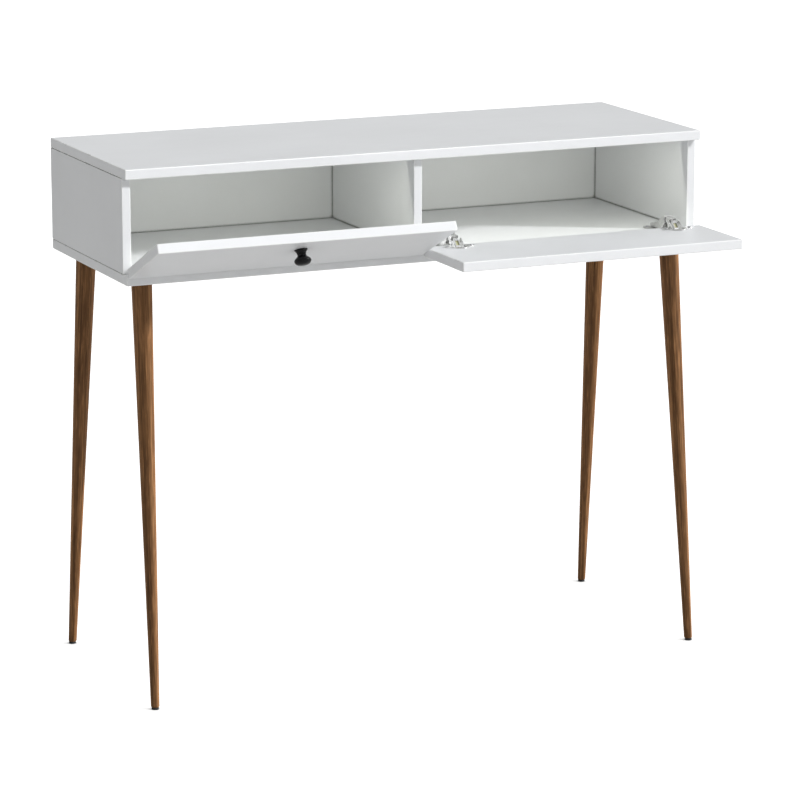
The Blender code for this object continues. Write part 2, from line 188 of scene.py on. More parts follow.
def walnut_material():
    """Turned, oiled walnut: long grain along the leg, growth bands across it, open pores, and a painted sheen: warm,
    light flanks and a darker middle as the leg is seen from the front left.
    """
    m = Maker("walnut_oiled")
    at = m.coords("grain")
    figure = m.node("ShaderNodeAttribute", {"attribute_name": "figure"}).outputs["Fac"]
    wander = m.noise(m.stretch(at, (14.0, 14.0, 1.3)), 1.0, 3.0, 0.55)
    bend = m.node("ShaderNodeVectorMath", {"operation": "SCALE"})
    m.put(bend, "0", m.node("ShaderNodeCombineXYZ", X=wander, Y=wander, Z=0.0).outputs[0])
    bend.inputs["Scale"].default_value = 0.006
    moved = m.node("ShaderNodeVectorMath", {"operation": "ADD"})
    m.put(moved, "0", at)
    m.put(moved, "1", bend.outputs[0])
    at2 = moved.outputs[0]
    bands = m.noise(m.stretch(at2, (190.0, 120.0, 1.6)), 1.0, 2.0, 0.5)
    streak = m.noise(m.stretch(at2, (620.0, 620.0, 5.0)), 1.0, 4.0, 0.62)
    blotch = m.noise(m.stretch(at, (40.0, 40.0, 7.0)), 1.0, 3.0, 0.5)
    base = m.ramp(
        bands,
        [
            (0.28, (0.0766, 0.0325, 0.0104)),
            (0.42, (0.1508, 0.0696, 0.0249)),
            (0.54, (0.2494, 0.1195, 0.0464)),
            (0.66, (0.3828, 0.1902, 0.0800)),
            (0.80, (0.5336, 0.2761, 0.1230)),
        ],
        "EASE",
    )
    # Painted sheen: darker in the middle of the leg and warm and light on its flanks, as seen from the front left.
    base = m.mix(m.span(figure, 0.0, 0.60, 0.60, 0.0), base, (0.0905, 0.0406, 0.0133))
    base = m.mix(m.span(figure, 0.60, 1.0, 0.0, 0.66), base, (0.5104, 0.2320, 0.0858))
    fleck = m.noise(m.stretch(at2, (330.0, 330.0, 26.0)), 1.0, 3.0, 0.6)
    base = m.mix(m.span(fleck, 0.50, 0.66, 0.0, 0.42), base, (0.0673, 0.0296, 0.0099))
    base = m.mix(m.span(fleck, 0.46, 0.32, 0.0, 0.34), base, (0.4872, 0.2413, 0.1021))
    base = m.mix(m.span(streak, 0.42, 0.62, 0.0, 0.55), base, (0.0534, 0.0226, 0.0075))
    base = m.mix(m.span(streak, 0.40, 0.26, 0.0, 0.45), base, (0.5800, 0.2958, 0.1276))
    base = m.mix(m.span(blotch, 0.45, 0.75, 0.0, 0.20), base, (0.4292, 0.2065, 0.0812))
    pores = m.noise(m.stretch(at2, (1500.0, 1500.0, 26.0)), 1.0, 2.0, 0.5)
    pore = m.span(pores, 0.60, 0.70)
    base = m.mix(m.math("MULTIPLY", pore, 0.45), base, (0.0464, 0.0220, 0.0104))
    m.set("Base Color", base)
    m.set(
        "Roughness",
        m.math("ADD", m.span(streak, 0.3, 0.7, 0.44, 0.56), m.math("MULTIPLY", pore, 0.12)),
    )
    relief = m.math("SUBTRACT", m.math("MULTIPLY", streak, 0.5), m.math("MULTIPLY", pore, 0.8))
    m.set("Normal", m.bump(relief, 0.35, 0.00025))
    m.bsdf.inputs["Specular IOR Level"].default_value = 0.14
    return m.mat


def gloss_black():
    """Black gloss enamel with polishing swirls and a slight orange peel."""
    m = Maker("black_enamel")
    at = m.coords()
    cloud = m.noise(at, 60.0, 3.0, 0.5)
    m.set("Base Color", m.mix(m.span(cloud, 0.3, 0.7), (0.003, 0.003, 0.0035), (0.008, 0.008, 0.009)))
    smudge = m.noise(at, 140.0, 5.0, 0.65, 0.5)
    m.set("Roughness", m.span(smudge, 0.35, 0.7, 0.10, 0.19))
    m.set("Normal", m.bump(m.noise(at, 420.0, 2.0, 0.5), 0.08, 0.0002))
    m.bsdf.inputs["Specular IOR Level"].default_value = 0.16
    m.bsdf.inputs["Coat Weight"].default_value = 0.07
    m.bsdf.inputs["Coat Roughness"].default_value = 0.05
    return m.mat


def metal(name, light, dark, low, high, brush, scale):
    """Plated steel: clouded plate, fine brushing along one way, dulled in patches."""
    m = Maker(name)
    at = m.coords()
    cloud = m.noise(at, scale * 0.25, 4.0, 0.6)
    lines = m.noise(m.stretch(at, brush), scale, 3.0, 0.6)
    colour = m.mix(m.span(cloud, 0.35, 0.7), light, dark)
    m.set("Base Color", m.mix(m.span(lines, 0.35, 0.7, 0.0, 0.35), colour, dark))
    m.bsdf.inputs["Metallic"].default_value = 1.0
    m.set("Roughness", m.math("ADD", m.span(cloud, 0.3, 0.7, low, high), m.span(lines, 0.3, 0.7, -0.03, 0.05)))
    m.set("Normal", m.bump(lines, 0.12, 0.0001))
    return m.mat


def nylon_material():
    """Yellowish moulded nylon with a faint flow pattern and ejector-dulled patches."""
    m = Maker("moulded_nylon")
    at = m.coords()
    flow = m.noise(m.stretch(at, (1.0, 0.35, 1.0)), 160.0, 4.0, 0.55, 0.8)
    m.set("Base Color", m.mix(m.span(flow, 0.3, 0.7), (0.36, 0.36, 0.20), (0.47, 0.46, 0.28)))
    m.set("Roughness", m.span(flow, 0.3, 0.7, 0.34, 0.50))
    m.set("Normal", m.bump(m.noise(at, 1400.0, 2.0, 0.5), 0.15, 0.0001))
    m.bsdf.inputs["Subsurface Weight"].default_value = 0.12
    m.bsdf.inputs["Subsurface Scale"].default_value = 0.002
    return m.mat


def rubber_material():
    """Black rubber pad: matte, grey dust in the pores."""
    m = Maker("pad_rubber")
    at = m.coords()
    grain = m.noise(at, 1500.0, 3.0, 0.6)
    overlay_mask = m.noise(at, 220.0, 4.0, 0.6)
    m.set("Base Color", m.mix(m.span(overlay_mask, 0.5, 0.75, 0.0, 0.5), (0.018, 0.018, 0.018), (0.07, 0.066, 0.06)))
    m.set("Roughness", m.span(grain, 0.3, 0.7, 0.62, 0.85))
    m.set("Normal", m.bump(grain, 0.3, 0.0002))
    return m.mat


def floor_material():
    m = Maker("floor_pale")
    at = m.coords()
    cloud = m.noise(at, 1.6, 4.0, 0.55)
    m.set("Base Color", m.mix(m.span(cloud, 0.3, 0.7), (0.675, 0.672, 0.664), (0.690, 0.687, 0.679)))
    m.set("Roughness", m.span(cloud, 0.3, 0.7, 0.70, 0.82))
    m.set("Normal", m.bump(m.noise(at, 120.0, 3.0, 0.6), 0.04, 0.0005))
    m.bsdf.inputs["Specular IOR Level"].default_value = 0.15
    m.bsdf.inputs["Emission Color"].default_value = (1.0, 1.0, 1.0, 1.0)
    # Only what is seen directly glows, as a lit sweep does, so that the floor adds no light of its own.
    seen = m.node("ShaderNodeLightPath").outputs["Is Camera Ray"]
    # It fades right beside a foot, which leaves the small contact shadow.
    hollow = m.node("ShaderNodeAmbientOcclusion", {"samples": 8}, Distance=0.022)
    open_sky = m.span(hollow.outputs["AO"], 0.45, 0.92)
    m.set("Emission Strength", m.math("MULTIPLY", m.math("MULTIPLY", seen, open_sky), FLOOR_GLOW))
    return m.mat


FLOOR_GLOW = 0.72
SKY = 0.385
BAY = 0.93
KEY, FILL, OVER = 3.32, 0.22, 0.53

BOARD = board_material("white_lacquer")
CARCASS = board_material("white_lacquer_carcass", corners=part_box("divider_panel")[0].y)
WALNUT = walnut_material()
ENAMEL = gloss_black()
NICKEL = metal("nickel_plate", (0.93, 0.93, 0.925), (0.76, 0.755, 0.75), 0.20, 0.32, (0.2, 1.0, 1.0), 900.0)
ZINC = metal("zinc_plate", (0.74, 0.74, 0.75), (0.52, 0.52, 0.54), 0.28, 0.42, (1.0, 1.0, 0.3), 1300.0)
SATIN = metal("satin_plate", (0.84, 0.84, 0.83), (0.68, 0.68, 0.67), 0.30, 0.42, (1.0, 0.2, 1.0), 700.0)
NYLON = nylon_material()
RUBBER = rubber_material()
LOOK = {
    "white_board": BOARD,
    "walnut": WALNUT,
    "black_gloss": ENAMEL,
    "black_pad": RUBBER,
    "nickel": NICKEL,
    "screw_steel": ZINC,
    "yellow_nylon": NYLON,
}

# Every CAD node that stays gets the finish of its own slot.
for node in frame["nodes"].values():
    for place in node.material_slots:
        if place.material and place.material.name in LOOK:
            place.material = LOOK[place.material.name]


# ---------------------------------------------------------------- shapes


def new_object(name, bm, material, body, nodes=(), world=None):
    mesh = bpy.data.meshes.new(name)
    bm.to_mesh(mesh)
    bm.free()
    obj = bpy.data.objects.new(name, mesh)
    scene.collection.objects.link(obj)
    if world is not None:
        obj.matrix_world = world
    mesh.materials.append(material)
    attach(obj, body)
    if nodes:
        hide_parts(*nodes)
    return obj


def apply_all(obj):
    """The object's modifiers made part of its mesh."""
    bpy.context.view_layer.update()
    graph = bpy.context.evaluated_depsgraph_get()
    mesh = bpy.data.meshes.new_from_object(obj.evaluated_get(graph))
    obj.modifiers.clear()
    old = obj.data
    obj.data = mesh
    bpy.data.meshes.remove(old)


def soften(obj, angle=40.0, weighted=True):
    """Smooth faces, sharp where they meet steeply."""
    for face in obj.data.polygons:
        face.use_smooth = True
    obj.data.set_sharp_from_angle(angle=math.radians(angle))
    if weighted:
        mod = obj.modifiers.new("Weighted", "WEIGHTED_NORMAL")
        mod.keep_sharp = True
        mod.weight = 90


def mark_edges(obj):
    """Face corners on the rounded arrises get edge 1, so that the finish is lighter there, as rubbed wear and a
    painted highlight.
    """
    mesh = obj.data
    mark = mesh.attributes.new("edge", "FLOAT", "CORNER")
    values = [0.0] * len(mesh.loops)
    for face in mesh.polygons:
        n = face.normal
        if max(abs(n.x), abs(n.y), abs(n.z)) < 0.995:
            for i in face.loop_indices:
                values[i] = 1.0
    mark.data.foreach_set("value", values)


def cube_into(bm, lo, hi):
    centre = (Vector(lo) + Vector(hi)) / 2
    size = Vector(hi) - Vector(lo)
    bmesh.ops.create_cube(
        bm,
        size=1,
        matrix=Matrix.Translation(centre) @ Matrix.Diagonal((*size, 1)),
    )


def rod_into(bm, start, end, r0, r1=None, sides=32):
    start, end = Vector(start), Vector(end)
    line = end - start
    turn = Vector((0, 0, 1)).rotation_difference(line).to_matrix().to_4x4()
    bmesh.ops.create_cone(
        bm,
        cap_ends=True,
        segments=sides,
        radius1=r0,
        radius2=r0 if r1 is None else r1,
        depth=line.length,
        matrix=Matrix.Translation((start + end) / 2) @ turn,
    )


def cutter(bm, world=None):
    bmesh.ops.recalc_face_normals(bm, faces=bm.faces)
    mesh = bpy.data.meshes.new("cutter")
    bm.to_mesh(mesh)
    bm.free()
    obj = bpy.data.objects.new("cutter", mesh)
    scene.collection.objects.link(obj)
    if world is not None:
        obj.matrix_world = world
    return obj


def cut(obj, tool):
    mod = obj.modifiers.new("Boolean", "BOOLEAN")
    mod.object = tool
    mod.solver = "EXACT"
    apply_all(obj)
    mesh = tool.data
    bpy.data.objects.remove(tool, do_unlink=True)
    bpy.data.meshes.remove(mesh)


def board(name, lo, hi, radius, body, node, world=None, segments=5, material=None):
    """A board with rounded arrises, in place of its CAD node."""
    bm = bmesh.new()
    cube_into(bm, lo, hi)
    bmesh.ops.bevel(
        bm,
        geom=bm.edges[:],
        offset=radius,
        segments=segments,
        profile=0.5,
        affect="EDGES",
        clamp_overlap=True,
    )
    return new_object(name, bm, material or BOARD, body, [node], world)


ROOT = "cabinet"
for name, radius in (
    ("top_panel", 2.0),
    ("bottom_panel", 2.0),
    ("side_panel_left", 1.2),
    ("side_panel_right", 1.2),
    ("divider_panel", 1.2),
    ("back_panel", 0.4),
):
    lo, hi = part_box(name)
    hair = Vector((1e-6, 1e-6, 1e-6))
    piece = board(f"{name}_board", lo + hair, hi - hair, radius * MM, ROOT, name, material=CARCASS)
    if name == "bottom_panel":
        bm = bmesh.new()
        for leg in ("front_left", "front_right", "rear_left", "rear_right"):
            a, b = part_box(f"leg_bolt_{leg}")
            c = (a + b) / 2
            rod_into(bm, (c.x, c.y, lo.z - 2 * MM), (c.x, c.y, lo.z + 13 * MM), 5.4 * MM, sides=24)
        for key in ("L1", "L2", "R1", "R2"):
            for tag in ("a", "b"):
                a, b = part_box(f"hinge_{key}_plate_screw_{tag}")
                c = (a + b) / 2
                rod_into(bm, (c.x, c.y, hi.z - 13 * MM), (c.x, c.y, hi.z + 3 * MM), 1.95 * MM, sides=16)
        cut(piece, cutter(bm))
    mark_edges(piece)
    soften(piece)

# ---- Flaps, in a frame on the hinge axis with the flap closed ----

AXIS = Vector(JOINTS["left_flap_hinge"]["pos_m"])
TURN = {
    "left": -math.radians(JOINTS["left_flap_hinge"]["range_deg"][0]),
    "right": -math.radians(JOINTS["right_flap_hinge"]["range_deg"][0]),
}


def hinge_frame(side, share=1.0):
    return Matrix.Translation(AXIS) @ Matrix.Rotation(TURN[side] * share, 4, "X")


def local_box(node, world):
    """The node's box in the frame given by world."""
    back = world.inverted()
    points = [back @ v.co for v in frame["nodes"][node].data.vertices]
    lo = Vector([min(p[i] for p in points) for i in range(3)])
    hi = Vector([max(p[i] for p in points) for i in range(3)])
    return lo, hi


CUP_R = 17.5 * MM
for side, keys in (("left", ("L1", "L2")), ("right", ("R1", "R2"))):
    node = f"flap_{side}"
    world = hinge_frame(side)
    lo, hi = local_box(node, world)
    piece = board(f"{node}_board", lo, hi, 2.0 * MM, f"flap_{side}_body", node, world)
    round_cuts, slots = bmesh.new(), bmesh.new()
    for key in keys:
        a, b = local_box(f"hinge_{key}_cup", world)
        x = (a.x + b.x) / 2
        low = a.y  # bottom of the cup
        cup_z = a.z + 18.9 * MM
        rod_into(round_cuts, (x, low - 0.4 * MM, cup_z), (x, hi.y + 5 * MM, cup_z), CUP_R + 0.3 * MM, sides=48)
        for sx in (-1, 1):
            rod_into(
                round_cuts,
                (x + sx * 24 * MM, hi.y - 11 * MM, cup_z),
                (x + sx * 24 * MM, hi.y + 5 * MM, cup_z),
                1.9 * MM,
                sides=16,
            )
        cube_into(
            slots,
            (x - 11.9 * MM, low + 1.1 * MM, lo.z - 6 * MM),
            (x + 11.9 * MM, hi.y + 6 * MM, cup_z),
        )
    if side == "left":
        a, b = local_box("knob_screw_left", world)
        c = (a + b) / 2
        rod_into(round_cuts, (c.x, lo.y - 4 * MM, c.z), (c.x, hi.y + 4 * MM, c.z), 2.3 * MM, sides=20)
    cut(piece, cutter(round_cuts, world))
    cut(piece, cutter(slots, world))
    mark_edges(piece)
    soften(piece)

# ---- Legs ----


def leg(name):
    """A turned, tapered leg with level ends, its grain running along the lean."""
    node = f"leg_{name}"
    lo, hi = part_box(node)
    sx = -1 if "left" in name else 1
    sy = -1 if "front" in name else 1
    r_top, r_foot = 18.4 * MM, 7.6 * MM
    top = Vector((hi.x - r_top if sx < 0 else lo.x + r_top, 0, hi.z))
    foot = Vector((lo.x + r_foot if sx < 0 else hi.x - r_foot, 0, lo.z))
    if sy < 0:
        top.y, foot.y = hi.y - r_top, lo.y + r_foot
    else:
        top.y, foot.y = lo.y + r_top, hi.y - r_foot
    height = top.z - foot.z
    line = top - foot
    sides, rings = 72, 60
    heights = [0.0, 0.25, 0.8, 1.7, 3.0]
    insets = [2.0, 1.1, 0.45, 0.1, 0.0]
    profile = []
    for h, inset in zip(heights, insets):
        profile.append((h * MM, inset * MM))
    for i in range(1, rings):
        profile.append((3 * MM + (height - 4.2 * MM) * i / rings, 0.0))
    profile += [(height - 1.2 * MM, 0.0), (height - 0.5 * MM, 0.15 * MM), (height, 0.7 * MM)]
    bm = bmesh.new()
    layer = []
    for h, inset in profile:
        t = h / height
        r = r_foot + (r_top - r_foot) * t - inset
        centre = foot + line * t
        layer.append(
            [
                bm.verts.new(
                    centre
                    + Vector(
                        (
                            r * math.cos(2 * math.pi * k / sides),
                            r * math.sin(2 * math.pi * k / sides),
                            0,
                        )
                    )
                )
                for k in range(sides)
            ]
        )
    for a, b in zip(layer, layer[1:]):
        for k in range(sides):
            j = (k + 1) % sides
            bm.faces.new((a[k], a[j], b[j], b[k]))
    bm.faces.new(list(reversed(layer[0])))
    bm.faces.new(layer[-1])
    bmesh.ops.recalc_face_normals(bm, faces=bm.faces)
    obj = new_object(f"{node}_turned", bm, WALNUT, ROOT, [node])
    mesh = obj.data
    shift = {"front_left": 0.0, "front_right": 1.37, "rear_left": 2.61, "rear_right": 3.93}[name]
    along, sheen_weights = [], []
    for v in mesh.vertices:
        away = v.co - foot - line * ((v.co.z - foot.z) / height)
        along += [away.x + shift, away.y + shift * 0.7, v.co.z + shift * 5.0]
        # The warm flanks of the figure lie to the left and right of the dark heart.
        # Painted sheen: the flanks at the left and right edges, as seen from the front left, are made warm and light,
        # and the middle between them darker.
        angle = math.atan2(away.y, away.x)
        sheen_weights.append(0.5 + 0.5 * math.cos(2 * (angle - SHEEN_TURN)))
    mesh.attributes.new("grain", "FLOAT_VECTOR", "POINT").data.foreach_set("vector", along)
    mesh.attributes.new("figure", "FLOAT", "POINT").data.foreach_set("value", sheen_weights)
    for face in mesh.polygons:
        face.use_smooth = True
    mesh.set_sharp_from_angle(angle=math.radians(50))
    return obj


# Heading of the painted sheen: the light flanks lie across the view from the front left.
SHEEN_TURN = math.radians(-24)
for name in ("front_left", "front_right", "rear_left", "rear_right"):
    leg(name)


def turned(name, profile, sides, world, material, body, nodes, angle=45.0):
    """A profile of (radius, height) turned about local Z, top first."""
    bm = bmesh.new()
    rows = []
    for r, h in profile:
        if r < 1e-7:
            rows.append([bm.verts.new((0, 0, h))])
        else:
            rows.append(
                [
                    bm.verts.new(
                        (
                            r * math.cos(2 * math.pi * k / sides),
                            r * math.sin(2 * math.pi * k / sides),
                            h,
                        )
                    )
                    for k in range(sides)
                ]
            )
    for a, b in zip(rows, rows[1:]):
        for k in range(sides):
            j = (k + 1) % sides
            if len(a) == 1:
                bm.faces.new((a[0], b[k], b[j]))
            elif len(b) == 1:
                bm.faces.new((a[k], b[0], a[j]))
            else:
                bm.faces.new((a[k], b[k], b[j], a[j]))
    bmesh.ops.recalc_face_normals(bm, faces=bm.faces)
    obj = new_object(name, bm, material, body, nodes, world)
    for face in obj.data.polygons:
        face.use_smooth = True
    obj.data.set_sharp_from_angle(angle=math.radians(angle))
    return obj


def smooth_line(points, per_span):
    """A Catmull-Rom line through the points."""
    out = []
    for i in range(len(points) - 1):
        p0 = points[max(i - 1, 0)]
        p1, p2 = points[i], points[i + 1]
        p3 = points[min(i + 2, len(points) - 1)]
        for k in range(per_span):
            t = k / per_span
            out.append(
                tuple(
                    0.5
                    * (
                        2 * p1[c]
                        + (p2[c] - p0[c]) * t
                        + (2 * p0[c] - 5 * p1[c] + 4 * p2[c] - p3[c]) * t * t
                        + (3 * p1[c] - p0[c] - 3 * p2[c] + p3[c]) * t**3
                    )
                    for c in (0, 1)
                )
            )
    out.append(points[-1])
    return out


# Foot pads: turned pads with a rounded rim and a shallow groove.
for name in ("front_left", "front_right", "rear_left", "rear_right"):
    node = f"foot_pad_{name}"
    lo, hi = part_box(node)
    c, h, r = (lo + hi) / 2, hi.z - lo.z, (hi.x - lo.x) / 2
    profile = [
        (0.0, h),
        (r - 1.0 * MM, h),
        (r - 0.4 * MM, h - 0.15 * MM),
        (r - 0.05 * MM, h - 0.6 * MM),
        (r, h - 1.1 * MM),
        (r - 0.25 * MM, h - 1.5 * MM),
        (r - 0.25 * MM, h - 1.8 * MM),
        (r, h - 2.1 * MM),
        (r, 0.8 * MM),
        (r - 0.3 * MM, 0.2 * MM),
        (r - 0.9 * MM, 0.0),
        (0.0, 0.0),
    ]
    turned(f"{node}_turned", profile, 40, Matrix.Translation((c.x, c.y, lo.z)), RUBBER, ROOT, [node])

# Knob: the CAD profile on a finer line.
world_left = hinge_frame("left")
lo, hi = local_box("knob_left", world_left)
flap_lo, flap_hi = local_box("flap_left", world_left)
knob_centre = (lo + hi) / 2
base_y = hi.y
outer = [
    (0.0, 28.0),
    (3.0, 27.93),
    (5.5, 27.7),
    (10.0, 26.5),
    (13.2, 24.2),
    (14.8, 21.2),
    (14.9, 18.6),
    (13.2, 15.8),
    (10.4, 13.4),
    (8.2, 10.8),
    (7.8, 8.0),
    (8.7, 5.0),
    (10.2, 2.4),
    (11.3, 1.4),
]
profile = [(max(r, 0.0) * MM, h * MM) for r, h in smooth_line(outer, 5)]
profile += [(11.75 * MM, 1.0 * MM), (11.9 * MM, 0.6 * MM), (11.9 * MM, 0.15 * MM), (11.7 * MM, 0.0), (0.0, 0.0)]
knob_world = world_left @ Matrix.Translation((knob_centre.x, base_y, knob_centre.z)) @ Matrix.Rotation(math.radians(90), 4, "X")
turned("knob_left_turned", profile, 96, knob_world, ENAMEL, "flap_left_body", ["knob_left"])

# ---- Hinges. (y, z) are about the hinge axis, in mm, in the frame of the piece's body; x is from the hinge's centre ----


def arc(radius, a0, a1, steps):
    """(y, z) points about the hinge axis; angles in degrees from +Y towards +Z."""
    turns = [math.radians(a0 + (a1 - a0) * i / steps) for i in range(steps + 1)]
    return [(radius * math.cos(a), radius * math.sin(a)) for a in turns]


def prism(outline, x0, x1):
    """A bmesh of an outline in (y, z), run along X."""
    bm = bmesh.new()
    rows = [[bm.verts.new((x * MM, y * MM, z * MM)) for y, z in outline] for x in (x0, x1)]
    bm.faces.new(rows[0])
    bm.faces.new(list(reversed(rows[1])))
    for i in range(len(outline)):
        j = (i + 1) % len(outline)
        bm.faces.new((rows[0][i], rows[1][i], rows[1][j], rows[0][j]))
    bmesh.ops.recalc_face_normals(bm, faces=bm.faces)
    return bm


def join(*parts):
    """Several bmeshes in one; those after the first are freed."""
    first = parts[0]
    for part in parts[1:]:
        mesh = bpy.data.meshes.new("join")
        part.to_mesh(mesh)
        part.free()
        first.from_mesh(mesh)
        bpy.data.meshes.remove(mesh)
    return first


def round_off(obj, width, segments=3, angle=28.0):
    """Rounded edges, made part of the mesh."""
    mod = obj.modifiers.new("Bevel", "BEVEL")
    mod.width = width * MM
    mod.segments = segments
    mod.limit_method = "ANGLE"
    mod.angle_limit = math.radians(angle)
    mod.harden_normals = False
    apply_all(obj)
    soften(obj, 50.0)


def drop(*names):
    """The world centre of each CAD node's box."""
    out = []
    for name in names:
        lo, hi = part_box(name)
        out.append((lo + hi) / 2)
    return out


FLAP_IN, CUP_Z, CUP_DEPTH, WING = 16.0, 29.0, 11.2, 24.0


def flange_outline():
    """The cup's rim with a wing to each side, as (x, z) about the cup centre."""
    points = []
    for i in range(17):
        a = math.radians(33 + 114 * i / 16)
        points.append((18.8 * math.cos(a), 18.8 * math.sin(a)))
    wing = [(-25.2, 6.0)]
    for i in range(13):
        a = math.radians(100 + 160 * i / 12)
        wing.append((-24.8 + 6.1 * math.cos(a), 6.0 * math.sin(a)))
    wing.append((-25.2, -6.0))
    low = []
    for i in range(17):
        a = math.radians(213 + 114 * i / 16)
        low.append((18.8 * math.cos(a), 18.8 * math.sin(a)))
    return points + wing + low + [(-x, z) for x, z in reversed(wing)]


def screw_mesh(profile, reach, deep, name):
    """A pan-headed screw about local Z with a cross recess. The profile is (radius, height) in mm, top first."""
    bm = bmesh.new()
    sides, rows = 28, []
    for r, h in profile:
        if r < 1e-6:
            rows.append([bm.verts.new((0, 0, h * MM))])
        else:
            rows.append(
                [
                    bm.verts.new((r * MM * math.cos(2 * math.pi * k / sides), r * MM * math.sin(2 * math.pi * k / sides), h * MM))
                    for k in range(sides)
                ]
            )
    for a, b in zip(rows, rows[1:]):
        for k in range(sides):
            j = (k + 1) % sides
            if len(a) == 1:
                bm.faces.new((a[0], b[k], b[j]))
            elif len(b) == 1:
                bm.faces.new((a[k], b[0], a[j]))
            else:
                bm.faces.new((a[k], b[k], b[j], a[j]))
    bmesh.ops.recalc_face_normals(bm, faces=bm.faces)
    mesh = bpy.data.meshes.new(name)
    bm.to_mesh(mesh)
    bm.free()
    obj = bpy.data.objects.new(name, mesh)
    scene.collection.objects.link(obj)
    top = profile[0][1]
    for turn in (0, 90):
        bm = bmesh.new()
        cube_into(bm, (-reach * MM, -0.42 * MM, (top - deep) * MM), (reach * MM, 0.42 * MM, (top + 2) * MM))
        cut(obj, cutter(bm, Matrix.Rotation(math.radians(turn + 45), 4, "Z")))
    for face in obj.data.polygons:
        face.use_smooth = True
    obj.data.set_sharp_from_angle(angle=math.radians(38))
    mesh = obj.data
    bpy.data.objects.remove(obj, do_unlink=True)
    mesh.materials.append(ZINC)
    return mesh


def put_screw(name, mesh, world, body):
    obj = bpy.data.objects.new(f"{name}_head", mesh)
    scene.collection.objects.link(obj)
    obj.matrix_world = world
    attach(obj, body)
    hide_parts(name)


CUP_SCREW = screw_mesh(
    [(0, 3.15), (1.2, 3.1), (2.1, 2.86), (2.75, 2.45), (3.1, 1.95), (3.1, 1.82), (1.5, 1.8), (1.5, -8.4), (0, -10.3)],
    2.0,
    1.2,
    "cup_screw",
)
PLATE_SCREW = screw_mesh(
    [(0, 4.35), (1.3, 4.3), (2.3, 4.05), (3.0, 3.55), (3.3, 2.95), (3.3, 2.75), (1.55, 2.7), (1.55, -9.8), (0, -12.3)],
    2.2,
    1.3,
    "plate_screw",
)
SET_SCREW = screw_mesh(
    [(0, 2.7), (1.4, 2.65), (2.2, 2.4), (2.6, 1.9), (2.6, 0.3), (2.2, 0.0), (0, 0.0)],
    1.7,
    1.2,
    "set_screw",
)

